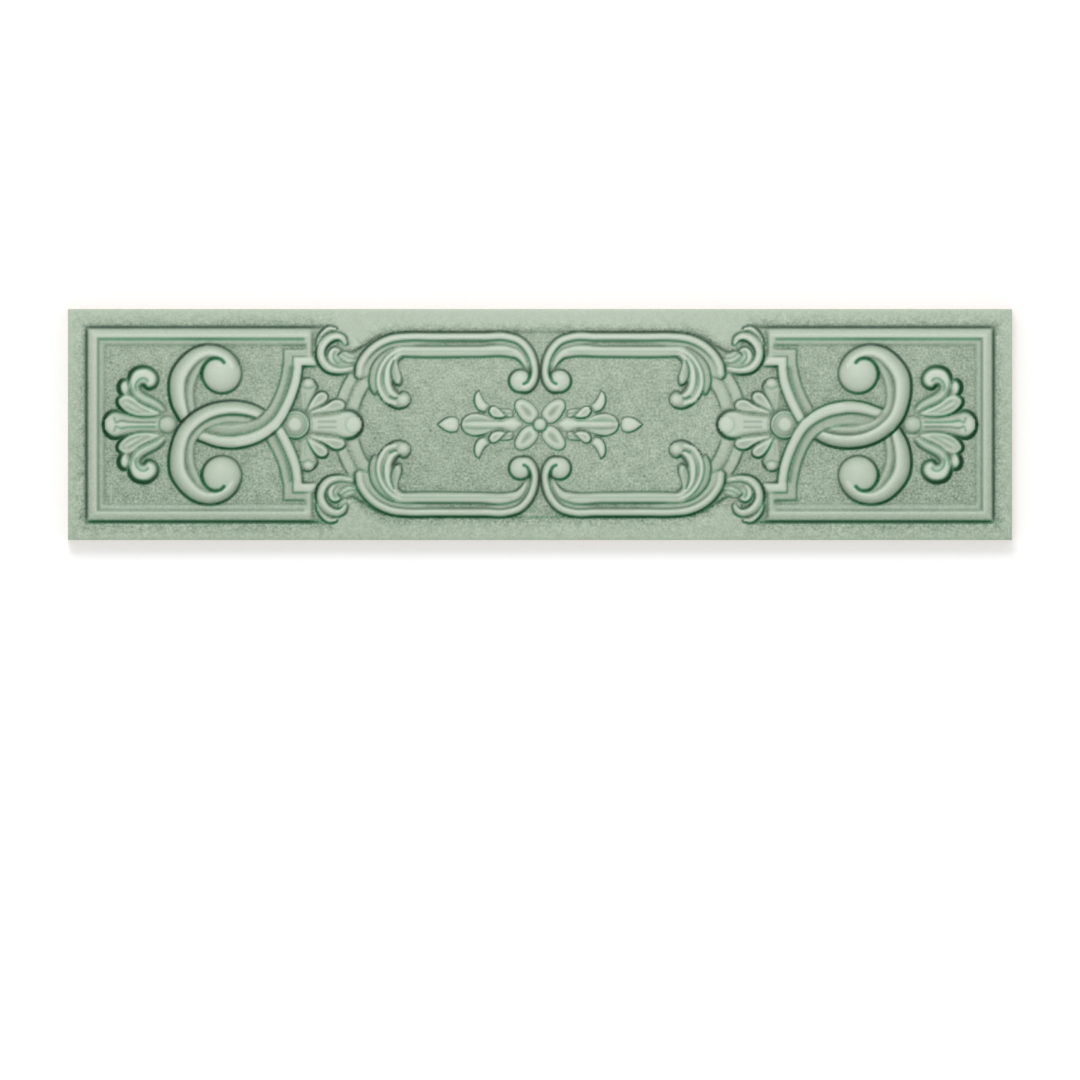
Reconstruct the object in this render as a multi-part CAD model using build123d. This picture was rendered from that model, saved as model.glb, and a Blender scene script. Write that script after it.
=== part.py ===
"""Relief wall tile, pressed and fired as one ceramic piece.

The tile lies on its back with its face up. The origin is the middle of the back, X runs along the tile,
Y across it and Z out of the face. The face has a flat rim, a sunk ground and raised ornament: a moulded
frame round each end panel, interlaced scrolls and straps, two palmettes, corner volutes, and a middle
cartouche with a flower. The ornament repeats after half a turn about Z, so one half is modelled.
Lengths are millimetres.
"""

import os
from math import ceil, sqrt

from build123d import *

# Body
TILE_LENGTH = 300.0
TILE_WIDTH = 73.4
GROUND_THICKNESS = 6.4
RIM_WIDTH = 5.8
RIM_RISE = 1.1
ARRIS_RADIUS = 0.8

# Keying pockets in the back, which the adhesive fills
POCKET_COLUMNS = 10
POCKET_ROWS = 3
POCKET_DEPTH = 0.8
BACK_RIB = 4.0
BACK_EDGE = 6.0

# Heights of the ornament above the ground
FRAME_RISE = 2.0
FRAME_STEP = 1.1
SCROLL_RISE = 3.1
BALL_RISE = 3.6
STRAP_RISE = 2.5
STEP_RISE = 1.0
PETAL_RISE = 2.1
CURL_RISE = 2.7
BEAD_RISE = 2.5
VOLUTE_RISE = 2.6
BAND_RISE = 2.5
INNER_BAND_RISE = 1.7
LEAF_RISE = 2.2
FLOWER_RISE = 1.4
RING_RISE = 0.5

# Seat of every raised form, let into the body so that it is one piece with it
SEAT = 0.6

# Frame moulding, widths from its outer foot inwards, and where it stops beside the volutes
FRAME_SLOPE = 2.9
FRAME_CREST = 0.6
FRAME_BACK = 0.5
FRAME_FILLET = 1.0
FRAME_END = 73.0

# Places in the end panel, from the outer foot of the frame and from the middle line
BALL_X = 43.1
BALL_Y = 16.2
BALL_RADIUS = 6.35
END_BEAD_X = 26.0
END_BEAD_RADIUS = 2.9
FAN_BEAD_X = 66.4
FAN_BEAD_RADIUS = 2.8
FAN_COLLAR_RADIUS = 4.5

# Places in the middle panel, from the middle of the tile
RING_X = 37.0
RING_RADII = [22.7, 27.2]
RING_WIDTH = 3.2
SCROLL_BALL_RADIUS = 3.8
LEAF_BALL_RADIUS = 2.4
FLOWER_BEAD_RADIUS = 2.2

PANEL_END = TILE_LENGTH / 2 - RIM_WIDTH
PANEL_SIDE = TILE_WIDTH / 2 - RIM_WIDTH
FACE = GROUND_THICKNESS

# Cross-sections of a raised form as (share of half width, share of rise) from foot to crown
ROUND_CROWN = [(-0.8, 0.6), (-0.35, 1.0), (0.35, 1.0), (0.8, 0.6)]
FLAT_CROWN = [(-0.5, 1.0), (0.5, 1.0)]
RIDGE_CROWN = [(0.0, 1.0)]

# Small rounds are cut in facets, as the carved mould is: degrees of turn for each one, and sides of a bead
FACET_ANGLE = 18.0
BEAD_SIDES = 12


def roll(stations, rise, crown):
    """A raised moulding along a smooth line through stations (x, y, half width), lower where it is thinner."""
    line = Spline(*[(x, y, FACE) for x, y, _ in stations])
    places = [(line.param_at_point((x, y, FACE)), half) for x, y, half in stations]
    cuts = [places[0]]
    for (start, first), (end, last) in zip(places, places[1:]):
        facets = ceil((line % start).get_angle(line % end) / FACET_ANGLE) or 1
        shares = [step / facets for step in range(1, facets + 1)]
        cuts += [(start + (end - start) * share, first + (last - first) * share) for share in shares]
    widest = max(half for _, half in cuts)
    sections = []
    for along, half in cuts:
        plane = Plane(line @ along, x_dir=Vector(0, 0, 1).cross(line % along), z_dir=line % along)
        top = rise * sqrt(half / widest)
        crest = [(across * half, height * top) for across, height in crown]
        sections.append(plane * make_face(Polyline((-half, -SEAT), *crest, (half, -SEAT), close=True)))
    return loft(sections, ruled=True)


def petal(x, y, angle, length, radius, rise):
    """A keeled lobe from its point at (x, y) out along the angle, widest near its round end."""
    round_start = 1 - radius / length
    round_end = 1 - 0.3 * radius / length
    shares = [(0, 0.15), (round_start / 2, 0.6), (round_start, 1), (round_end, 0.72), (1, 0.2)]
    out = Vector(1, 0).rotate(Axis.Z, angle) * length
    return roll([(x + out.X * share, y + out.Y * share, radius * half) for share, half in shares], rise, RIDGE_CROWN)


def ball(x, y, radius, rise):
    """A ball end: the cap of a sphere that meets the ground at the given radius."""
    sphere_radius = (radius**2 + rise**2) / (2 * rise)
    cap_height = rise + SEAT
    cap = Sphere(sphere_radius) & Pos(0, 0, sphere_radius - cap_height) * Cylinder(
        sphere_radius * 2, cap_height, align=(Align.CENTER, Align.CENTER, Align.MIN)
    )
    return Pos(x, y, FACE + rise - sphere_radius) * cap


def bead(x, y, radius, rise):
    """A small boss with a faceted round top."""
    rings = [(1, -SEAT), (0.8, 0.65 * rise), (0.4, rise)]
    return Pos(x, y, FACE) * loft([Pos(0, 0, z) * RegularPolygon(radius * share, BEAD_SIDES) for share, z in rings], ruled=True)


def arc_band(x, radius, width, start, end, rise):
    """A low flat band on an arc about (x, 0), between two angles in degrees."""
    outer = CenterArc((x, 0), radius + width / 2, start, end - start)
    inner = CenterArc((x, 0), radius - width / 2, start, end - start)
    face = make_face([outer, inner, Line(outer @ 0, inner @ 0), Line(outer @ 1, inner @ 1)])
    return Pos(0, 0, FACE - SEAT) * extrude(face, SEAT + rise)


def moved(stations, x, y=0):
    """Stations shifted to the place that they are measured from."""
    return [(px + x, py + y, half) for px, py, half in stations]


def both_sides(parts):
    """The parts and their mirror images across the long middle line."""
    return parts + [mirror(part, about=Plane.XZ) for part in parts]


def sunk_ground():
    """The space over one quarter of the ground, bounded by the rim and its shoulder at the cartouche."""
    shoulder_side = PANEL_SIDE - 1.5
    shoulder = Spline(
        (-42, shoulder_side),
        (-48, PANEL_SIDE - 2.5),
        (-53.5, PANEL_SIDE - 4.6),
        (-58, PANEL_SIDE - 7.2),
        (-62, PANEL_SIDE - 7),
    )
    outline = [
        Polyline((0, shoulder_side), (0, 0), (-PANEL_END, 0), (-PANEL_END, PANEL_SIDE), (-64, PANEL_SIDE)),
        Line((-64, PANEL_SIDE), shoulder @ 1),
        shoulder,
        Line(shoulder @ 0, (0, shoulder_side)),
    ]
    return Pos(0, 0, FACE) * extrude(make_face(outline), 2 * RIM_RISE)


def body():
    """The slab with its sunk ground, flat rim, eased outer edge and keyed back."""
    slab = Box(TILE_LENGTH, TILE_WIDTH, FACE + RIM_RISE, align=(Align.CENTER, Align.CENTER, Align.MIN))
    slab = fillet(slab.edges().group_by(Axis.Z)[-1], ARRIS_RADIUS)
    quarter = sunk_ground()
    half = quarter + mirror(quarter, about=Plane.XZ)
    slab -= half + Rot(0, 0, 180) * half
    pocket_length = (TILE_LENGTH - 2 * BACK_EDGE - (POCKET_COLUMNS - 1) * BACK_RIB) / POCKET_COLUMNS
    pocket_width = (TILE_WIDTH - 2 * BACK_EDGE - (POCKET_ROWS - 1) * BACK_RIB) / POCKET_ROWS
    pockets = GridLocations(pocket_length + BACK_RIB, pocket_width + BACK_RIB, POCKET_COLUMNS, POCKET_ROWS)
    return slab - pockets * Box(pocket_length, pocket_width, 2 * POCKET_DEPTH)


def frame_moulding():
    """The stepped picture-frame moulding round three sides of an end panel, mitred at its corners."""
    crest = FRAME_SLOPE + FRAME_CREST
    step = crest + FRAME_BACK
    profile = [
        (0, -SEAT),
        (0, RIM_RISE / 2),
        (FRAME_SLOPE, FRAME_RISE),
        (crest, FRAME_RISE),
        (step, FRAME_STEP),
        (step + FRAME_FILLET, FRAME_STEP),
        (step + FRAME_FILLET + FRAME_STEP / 2, -SEAT),
    ]
    path = Polyline(
        (-FRAME_END, PANEL_SIDE, FACE),
        (-PANEL_END, PANEL_SIDE, FACE),
        (-PANEL_END, -PANEL_SIDE, FACE),
        (-FRAME_END, -PANEL_SIDE, FACE),
    )
    plane = Plane(path @ 0, x_dir=(0, -1, 0), z_dir=(-1, 0, 0))
    section = plane * make_face(Polyline(*profile, close=True))
    return [sweep(section, path=path, transition=Transition.RIGHT)]


def end_palmette():
    """The palmette at the outer end: a bead, a long tongue, and a petal, a lobe and a curl on each side."""
    x = END_BEAD_X - PANEL_END
    curl = [(-1.5, 4.5, 1.0), (-5, 7.2, 1.6), (-9, 9.9, 1.9), (-11.5, 13, 1.8), (-10.6, 16.2, 1.6)]
    curl += [(-7.6, 17.1, 1.6), (-4.9, 15, 1.6), (-5.9, 12.4, 1.1)]
    sides = [
        petal(x - 2, 2.9, 162, 14.8, 2.6, PETAL_RISE),
        petal(x - 9, 10.6, 162, 7.5, 2.1, PETAL_RISE),
        roll(moved(curl, x), CURL_RISE, FLAT_CROWN),
    ]
    tongue = petal(x, 0, 180, 20.8, 4.4, PETAL_RISE)
    return both_sides(sides) + [bead(x, 0, END_BEAD_RADIUS, BEAD_RISE), tongue]


def knot():
    """The two C-scrolls with ball ends. The lower one runs on as a ring over the upper one and the strap."""
    scroll = [(47.9, 18.6, 1.1), (45.5, 22.3, 1.8), (39.7, 23.6, 2.1), (33.6, 21.4, 2.4), (29.2, 15.8, 2.6)]
    scroll += [(28.8, 9.3, 2.5)]
    upper = scroll + [(31, 3, 2.2)]
    ring = [(30.9, -2.8, 2.3), (35.6, 2.6, 2.2), (42.2, 5.4, 2.2), (49.2, 5.5, 2.1), (55.6, 3.6, 1.7)]
    lower = [(px, -py, half) for px, py, half in scroll] + ring
    upper_step = [(36.2, 17.8, 1.4), (33.4, 14, 1.7), (32.7, 10, 1.7), (33.5, 6, 1.4)]
    lower_step = [(px, -py, half) for px, py, half in upper_step[:3]]
    lower_step += [(33.9, -5.2, 1.6), (37, -0.9, 1.6), (42.4, 1.8, 1.6), (47.6, 2, 1.6), (52, 1.2, 1.4)]
    balls = both_sides([ball(BALL_X - PANEL_END, BALL_Y, BALL_RADIUS, BALL_RISE)])
    return balls + [
        roll(moved(upper, -PANEL_END), SCROLL_RISE, ROUND_CROWN),
        roll(moved(lower, -PANEL_END), SCROLL_RISE, ROUND_CROWN),
        roll(moved(upper_step, -PANEL_END), STEP_RISE, FLAT_CROWN),
        roll(moved(lower_step, -PANEL_END), STEP_RISE, FLAT_CROWN),
    ]


def straps():
    """The S-shaped strap through the knot, the strap that it crosses, and the low step beside them."""
    upper = [(67.4, 18, 1.35), (67.1, 14, 1.4), (65.8, 9.5, 1.5), (63.8, 5.2, 1.7), (61.2, 1.2, 1.9)]
    upper += [(57.2, -2.2, 2), (52.2, -4.6, 2), (47.2, -5.6, 2), (42.2, -5.3, 1.9), (36.5, -3.8, 1.5)]
    lower = [(67.4, -18, 1.35), (66.8, -14, 1.4), (65.2, -9.5, 1.5), (63.5, -5.5, 1.5), (61.2, -1.5, 1.4)]
    step = [(64.3, 22, 1.6), (64, 16, 1.8), (62.2, 10, 1.8), (59.6, 5.2, 1.8), (54.6, 0.9, 1.6)]
    head = [(65.8, 20, 1.55), (73, 20, 1.55)]
    sides = [
        roll(moved(step, -PANEL_END), STEP_RISE, FLAT_CROWN),
        roll(moved(head, -PANEL_END), STRAP_RISE, FLAT_CROWN),
    ]
    return both_sides(sides) + [
        roll(moved(upper, -PANEL_END), STRAP_RISE, FLAT_CROWN),
        roll(moved(lower, -PANEL_END), STRAP_RISE, FLAT_CROWN),
    ]


def fan():
    """The palmette between the straps: a collared bead, a broad tongue and three lobes on each side."""
    x = FAN_BEAD_X - PANEL_END
    sides = [
        petal(x + 4.3, 3.4, 17.5, 11.9, 1.9, PETAL_RISE),
        petal(x + 3.8, 4.2, 44, 8.9, 1.9, PETAL_RISE),
        petal(x + 1.3, 13.6, -10, 6, 1.6, PETAL_RISE),
    ]
    middle = [
        bead(x, 0, FAN_COLLAR_RADIUS, BEAD_RISE / 2),
        bead(x, 0, FAN_BEAD_RADIUS, BEAD_RISE),
        petal(x, 0, 0, 21.5, 4.7, PETAL_RISE),
    ]
    return both_sides(sides) + middle


def volutes():
    """The curled leaf at each corner of the middle panel, placed from the rim."""
    outer = [(-61.8, -4.3, 1.0), (-63.5, -3.2, 1.4), (-66.2, -3.5, 1.4), (-68.7, -5.2, 1.4), (-69.7, -7.9, 1.4)]
    outer += [(-69, -10.9, 1.4), (-67, -13, 1.4), (-64, -13.9, 1.4), (-60, -13.3, 1.2)]
    tip = [(-70.6, -4.2, 0.5), (-69, -1.9, 0.9), (-67, -0.7, 0.9), (-65, -0.4, 0.6)]
    eye = [(-63.4, -7.3, 0.7), (-65.2, -6.9, 0.9), (-66.4, -8.3, 0.9), (-66.3, -10.2, 0.9), (-65.2, -11.7, 0.6)]
    leaf = [(-63.6, -8.6, 0.7), (-61.2, -10, 1.1), (-58.8, -10.8, 0.9)]
    return both_sides([
        roll(moved(outer, 0, PANEL_SIDE), VOLUTE_RISE, FLAT_CROWN),
        roll(moved(tip, 0, PANEL_SIDE), VOLUTE_RISE, RIDGE_CROWN),
        roll(moved(eye, 0, PANEL_SIDE), VOLUTE_RISE, RIDGE_CROWN),
        roll(moved(leaf, 0, PANEL_SIDE), VOLUTE_RISE, RIDGE_CROWN),
    ])


def cartouche():
    """The double band round the middle panel, with a leaf at one end and a ball scroll at the other."""
    outer = [(-57.8, -16.2, 0.9), (-57.6, -12.9, 1.3), (-55.5, -8.9, 1.35), (-52, -5.7, 1.35)]
    outer += [(-47.5, -3.6, 1.35), (-42, -2.85, 1.35), (-26, -2.85, 1.35), (-10.5, -2.85, 1.35)]
    outer += [(-6.5, -4.3, 1.35), (-3.2, -7.6, 1.35), (-1.6, -12.4, 1.35), (-1.8, -16, 1.3), (-3.4, -18.8, 1.1)]
    inner = [(-45.5, -7.5, 1.6), (-36, -7.7, 1.75), (-20, -7.7, 1.75), (-10, -7.8, 1.7), (-7, -9, 1.4)]
    inner += [(-5, -11.7, 0.8)]
    leaf = [(-45.5, -7.6, 1.6), (-49.2, -10.3, 2.4), (-51.2, -14.9, 2.8), (-51.1, -19.1, 2.4)]
    leaf += [(-49.2, -22.5, 1.8), (-45.5, -24.6, 1.2)]
    leaflet = [(-46, -10.4, 0.9), (-46.9, -13.4, 1.6), (-46.5, -16.1, 1.3), (-45.5, -17.9, 0.5)]
    return both_sides([
        roll(moved(outer, 0, PANEL_SIDE), BAND_RISE, FLAT_CROWN),
        roll(moved(inner, 0, PANEL_SIDE), INNER_BAND_RISE, FLAT_CROWN),
        roll(moved(leaf, 0, PANEL_SIDE), LEAF_RISE, ROUND_CROWN),
        roll(moved(leaflet, 0, PANEL_SIDE), LEAF_RISE, RIDGE_CROWN),
        bead(-6.2, PANEL_SIDE - 17.1, SCROLL_BALL_RADIUS, BAND_RISE),
        bead(-43.6, PANEL_SIDE - 22.9, LEAF_BALL_RADIUS, LEAF_RISE),
    ])


def ring_arcs():
    """The two low concentric bands behind the fan and the cartouche leaf."""
    return both_sides([arc_band(-RING_X, radius, RING_WIDTH, 146, 170, RING_RISE) for radius in RING_RADII])


def flower():
    """Half of the four-petal flower and the budded arm that runs from it along the middle line."""
    curl = [(-17.2, 3.4, 0.7), (-19.2, 5.4, 1.1), (-19.8, 8, 1.1), (-19.3, 10.6, 0.4)]
    sides = [
        petal(0, 0, 135, 10.2, 2.9, FLOWER_RISE),
        petal(-10.3, 2.2, 153, 6.7, 1.5, FLOWER_RISE),
        roll(curl, FLOWER_RISE, RIDGE_CROWN),
    ]
    return both_sides(sides) + [
        petal(-8, 0, 180, 17.2, 3.6, FLOWER_RISE),
        petal(-33, 0, 0, 7.6, 2.5, FLOWER_RISE),
    ]


half_turn = Rot(0, 0, 180)
half_ornament = frame_moulding() + end_palmette() + knot() + straps() + fan()
half_ornament += volutes() + cartouche() + ring_arcs() + flower()
ornament = half_ornament + [half_turn * part for part in half_ornament]
ornament.append(bead(0, 0, FLOWER_BEAD_RADIUS, FLOWER_RISE))
tile = body() + ornament

os.makedirs("parts", exist_ok=True)
export_step(tile, "parts/tile.step")
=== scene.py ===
"""Relief wall tile in a celadon glaze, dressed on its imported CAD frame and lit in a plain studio.

The tile is one pressed and fired piece, so its skin is one surface: heights over the plan, laid down form
by form, as a carver builds up the pattern that the press mould is cast from. Plan lengths and heights are
millimetres, from the middle of the tile and from its sunk ground, until the mesh is made in metres.
"""

import bpy
import numpy as np
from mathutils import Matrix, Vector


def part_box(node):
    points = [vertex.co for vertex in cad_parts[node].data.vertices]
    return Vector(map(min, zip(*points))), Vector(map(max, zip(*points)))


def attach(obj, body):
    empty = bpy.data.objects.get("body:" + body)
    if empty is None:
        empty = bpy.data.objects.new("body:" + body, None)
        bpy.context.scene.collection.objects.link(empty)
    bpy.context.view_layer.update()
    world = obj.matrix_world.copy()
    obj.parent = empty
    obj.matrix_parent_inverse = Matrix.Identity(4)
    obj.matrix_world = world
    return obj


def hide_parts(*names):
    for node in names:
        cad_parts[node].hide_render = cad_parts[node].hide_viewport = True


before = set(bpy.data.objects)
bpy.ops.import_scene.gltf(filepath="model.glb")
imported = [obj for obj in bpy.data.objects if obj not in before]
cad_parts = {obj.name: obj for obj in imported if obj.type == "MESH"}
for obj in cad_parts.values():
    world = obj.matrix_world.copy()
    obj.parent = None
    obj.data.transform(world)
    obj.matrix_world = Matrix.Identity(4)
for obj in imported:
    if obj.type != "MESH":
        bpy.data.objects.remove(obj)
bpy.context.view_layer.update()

# Pressed body: a flat ceramic slab with an eased outer edge and a sunk ground inside a flat rim. Half of
# its face is a grid, and the other half is the same after half a turn. The grid holds heights, how pale and
# how mottled the glaze fires, with painted light and shade in its paleness, where it pools, with painted
# shade in the pools, which way the pools face, and which are green all round.
MM = 0.001
half_length, half_width, crown = np.array(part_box("tile")[1]) / MM
ground_level = 6.4
ground_tone = 0.2
panel_end, panel_side = 144.2, 31.0

# Grid lines: close together on the eased edge and over the ornament, and wide apart on the plain rim.
margin = np.array([0.0, 0.06, 0.24, 0.5, 0.8, 1.7, 3.2])
fine_start = 4.4
fine_columns, fine_rows = 305, 137
xs = np.r_[margin - half_length, np.linspace(fine_start - half_length, 0, fine_columns)]
ys = np.r_[margin - half_width, np.linspace(fine_start - half_width, half_width - fine_start, fine_rows)]
ys = np.r_[ys, (half_width - margin)[::-1]]
X, Y = np.meshgrid(xs, ys)
height = np.zeros_like(X)
tone = np.full_like(X, ground_tone)
mottled = np.ones_like(X)
green = np.zeros_like(X)


def ease(value, start, end):
    """Smooth step: 0 before start, 1 after end, and 3 t^2 - 2 t^3 between them."""
    t = np.clip((value - start) / (end - start), 0, 1)
    return t * t * (3 - 2 * t)


def bell(distance, width):
    """Bell curve exp(-(distance / width)^2)."""
    return np.exp(-((distance / width) ** 2))


# The rim's inner edge: straight beside the end panel, with a shoulder that dips to meet the cartouche.
# Dark glaze pools along its foot, with painted shade in it, but little of it beside the cartouche, whose
# own outline runs close by.
rim_rise, rim_tone = 1.1, 0.5
rim_foot, rim_top = -0.1, 0.8
rim_x = [-panel_end, -66, -63.1, -62.3, -61, -59.5, -58, -56, -53.5, -51.5, -47, -42, 0]
rim_y = [panel_side, panel_side, 22.8, 23.4, 23, 23.1, 23.7, 25, 26.8, 28, 29, 29.4, 29.4]
rim_line = np.interp(X, [-73.5, -69.5, -64, -54, -48], [1.12, 0.2, 0.6, 0.5, 0.2])
over_rim = np.maximum(np.abs(Y) - np.interp(X, rim_x, rim_y), -panel_end - X)
corner_gap = np.hypot(X + panel_end, np.abs(Y) - panel_side)
rim = ease(over_rim, rim_foot, rim_top)
edge_shade = 0.45 * bell(over_rim, 2.2)
height += rim_rise * rim
tone += (rim_tone - ground_tone - edge_shade) * rim
mottled -= 0.35 * ease(over_rim, 2, 5)
rim_width = np.interp(X, [-68, -62], [0.48, 0.34])
corner_fade = 0.6 * bell(corner_gap, 1.2)
pool_and_groove_shade = rim_line * bell(over_rim - rim_foot, rim_width) * (1 - corner_fade)
at_end = -panel_end - X > np.abs(Y) - panel_side
at_foot = over_rim > -2
# Which way the foot's pool faces, at the ends and along the sides, for the painted shade that makes it deeper
# and greener on the sides that face outward and down.
end_facing, side_facing = -0.9, -1.3
outward = np.where(at_foot & at_end, end_facing, 0.0)
downward = np.where(at_foot & ~at_end, side_facing * np.sign(Y), 0.0)

# Frame moulding: a picture-frame profile round three sides of each end panel, mitred at its corners. It
# rises from the rim's foot to a crest, drops to a groove and a low fillet, and stops beside the volutes at
# a flat upright.
profile_in = [0, 0.4, 2.5, 3.1, 3.6, 3.9, 4.3, 5.2, 5.9]
profile_rise = [0, 0.45, 1.85, 2.0, 1.5, 0.95, 1.15, 1.1, 0]
# The tones across the profile: partly thin glaze on the crest and partly the moulding's painted light and
# shade.
profile_tone = [0.3, 0.42, 0.7, 0.85, 0.5, 0.4, 0.5, 0.45, ground_tone]
moulding_width = profile_in[-1]
rim_lap = 0.8
inward = np.minimum(X + panel_end, panel_side - np.abs(Y))
rail = (1 - ease(X, -73, -72.2)) * (inward > 0) * (inward < moulding_width)
height += rail * (np.interp(inward, profile_in, profile_rise) - height * (inward > rim_lap))
tone += rail * (np.interp(inward, profile_in, profile_tone) - tone)

upright_rise, upright_tone = 1.5, 0.6
upright = ease(X, -74.7, -73.9) * (1 - ease(X, -72.8, -72.2)) * ease(inward, 2.5, 3.5) * (np.abs(Y) > 18)
height += upright * (upright_rise - height)
tone += upright * (upright_tone - tone)
mottled -= 0.5 * np.maximum(rail, upright)

# Glaze pooled in the moulding, with painted shade in it: a line in its groove, darker beside the scrolls,
# and a fainter one at its foot.
groove_in, fillet_in, foot_in = 3.75, 4.4, 5.85
scroll_top_x = -107
groove_facing = 1.8
end_rail = X + panel_end < panel_side - np.abs(Y)
groove_strength = np.where(end_rail, 0.3, 0.32 + 0.12 * bell(X - scroll_top_x, 9))
groove = rail * (groove_strength * bell(inward - groove_in, 0.38) + 0.1 * bell(inward - fillet_in, 0.3))
groove *= 1 - ease(X, -75.2, -74.4)
# On the side rails the groove's pool is taken to face along Y, for its painted shade, and on the end rail
# neither way.
downward = np.where(groove > pool_and_groove_shade, np.where(end_rail, 0, groove_facing * np.sign(Y)), downward)
pool_and_groove_shade = np.maximum(pool_and_groove_shade, groove)
foot_line = np.interp(X, [-82.5, -81.5, -74.4, -73.8], [0.06, 0.2, 0.2, 0])
pool_and_groove_shade = np.maximum(pool_and_groove_shade, foot_line * bell(inward - foot_in, 0.45))

# Fan: a palmette between the straps, with a collared bead, a broad tongue and three lobes on each side.
# Two low concentric bands pass behind it. Like the rest of the pattern, it is laid from mouldings along
# curves, ball ends, lobes inside outlines, cut lines and sharp edges.


def curve_through(stations, spacing=0.15):
    """Cubic Hermite curve through rows (x, y, ...), with slopes from centred differences along the chords."""
    rows = np.array(stations, dtype=float)
    chord = np.r_[0, np.cumsum(np.hypot(np.diff(rows[:, 0]), np.diff(rows[:, 1])))]
    slope = np.gradient(rows, chord, axis=0)
    at = np.linspace(0, chord[-1], int(chord[-1] / spacing) + 2)
    i = np.clip(np.searchsorted(chord, at, side="right") - 1, 0, len(chord) - 2)
    span = (chord[i + 1] - chord[i])[:, None]
    s = (at - chord[i])[:, None] / span
    ends = (1 + 2 * s) * (1 - s) ** 2 * rows[i] + s**2 * (3 - 2 * s) * rows[i + 1]
    return ends + s * (1 - s) * span * ((1 - s) * slope[i] - s * slope[i + 1])


def nearest(path, reach):
    """The window of the grid within reach of a path, and each point's distance to it and nearest sample."""
    left, right = np.searchsorted(xs, [path[:, 0].min() - reach, path[:, 0].max() + reach])
    lower, upper = np.searchsorted(ys, [path[:, 1].min() - reach, path[:, 1].max() + reach])
    part = (slice(lower, upper), slice(left, right))
    gap = (X[part][..., None] - path[:, 0]) ** 2 + (Y[part][..., None] - path[:, 1]) ** 2
    return part, np.sqrt(gap.min(axis=-1)), gap.argmin(axis=-1)


def furrow(distance, width):
    """Section of a groove: a narrow flat core with half of a bell curve on each side."""
    core = 0.12
    return bell(np.maximum(np.abs(distance) - core, 0), width)


def lay(part, outside, shape, shade, line, soft, tint=0.0, where=True, lap=1.2):
    """Lay a form with the given heights and tones over the relief so far.

    outside is the distance out of its outline, below 0 inside. Along the outline runs a groove, where dark
    glaze pools, with painted shade in it: line^2 times a furrow in that distance, with a width for the inner
    and the outer side. The way the pool faces is kept for the painted shade on its sides that face outward
    and down. At line 0 the form melts into what it laps, and at 1 it cuts into it by up to lap. tint is how
    green the pool is at least, whichever way it faces.
    """
    groove_depth = 0.35
    relief_mottle = 0.3
    melting_line = 0.15
    inside = (outside < 0) & where
    trough = line**2 * furrow(outside, np.where(outside < 0, *soft)) * where
    away_y, away_x = np.gradient(outside)
    steepness = np.maximum(np.hypot(away_x, away_y), 0.01)
    marked = inside | (trough > pool_and_groove_shade[part])
    outward[part] = np.where(marked, -away_x / steepness, outward[part])
    downward[part] = np.where(marked, -away_y / steepness, downward[part])
    green[part] = np.where(marked, tint, green[part])
    under = height[part]
    height[part] = np.where(inside, np.maximum(shape, under - lap * line), under) - groove_depth * trough
    pool_and_groove_shade[part] = np.where(inside, trough, np.maximum(pool_and_groove_shade[part], trough))
    blend = np.where(line < melting_line, np.maximum(shade, tone[part]), shade)
    tone[part] = np.where(inside, blend, tone[part])
    mottled[part] = np.where(inside, relief_mottle, mottled[part])


strongest_line = 1.2
groove_reach = 2
groove_widths = (0.36, 0.32)


def lay_roll(stations, rise, lines=(1.0, 1.0), shade=(0.4, 1.0), lean=0.0, power=2.0, base=0.0, lap=1.2,
             soft=groove_widths, spread=1.0, tint=0.0, flip=1, open_start=False, open_end=False):
    """A moulding along a curve through (x, y, half width): base + rise (1 - |v|^power)^0.8 across it.

    v runs from -1 to 1 over the width and is 0 at the crest, which leans to the left by the share given.
    lines and shade are the strength of the left and right outline, which two more columns of the stations
    may set along the way, and the tones at the edge and the crest, partly thin glaze and partly the roll's
    painted light and shade, which follow the height but fall off evenly down the longer slope of a leaning
    crest. A weak line narrows inside the edge by up to half, and spreads outside it by the share given. flip
    is -1 for the mirror image in Y.
    """
    rows = [(*station, *lines)[:5] if len(station) == 3 else station for station in stations]
    path = curve_through(rows) * [1, flip, 1, 1, 1]
    part, distance, index = nearest(path, path[:, 2].max() + groove_reach)
    along = np.gradient(path[:, :2], axis=0)[index]
    across = along[..., 0] * (Y[part] - path[index, 1]) - along[..., 1] * (X[part] - path[index, 0])
    side = np.where(across * flip < 0, -1.0, 1.0)
    width = path[index, 2]
    u = np.clip(side * distance / width, -1, 1)
    v = np.where(u > lean, (u - lean) / (1 - lean), (u - lean) / (1 + lean))
    swell = (1 - np.abs(v) ** power) ** 0.8
    line = np.clip(np.where(side > 0, path[index, 3], path[index, 4]), 0, strongest_line)
    where = (index >= open_start) & (index < len(path) - open_end)
    glow = np.where(v * lean < 0, 1 - np.abs(v), swell)
    shades = shade[0] + (shade[1] - shade[0]) * glow
    widths = (soft[0] * (0.5 + 0.5 * line), soft[1] * (1 + spread * (1 - line)))
    lay(part, distance - width, base + rise * swell, shades, line, widths, tint, where, lap)


def lay_dome(x, y, radius, rise, line=1.0, shade=(0.5, 0.82), base=0.0, flip=1):
    """A ball end: base + rise (1 - (distance / radius)^2)^0.6."""
    part, distance, _ = nearest(np.array([[x, y * flip]]), radius + groove_reach)
    swell = (1 - np.clip(distance / radius, 0, 1) ** 2) ** 0.6
    shades = shade[0] + (shade[1] - shade[0]) * swell
    lay(part, distance - radius, base + rise * swell, shades, line, groove_widths)


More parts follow.
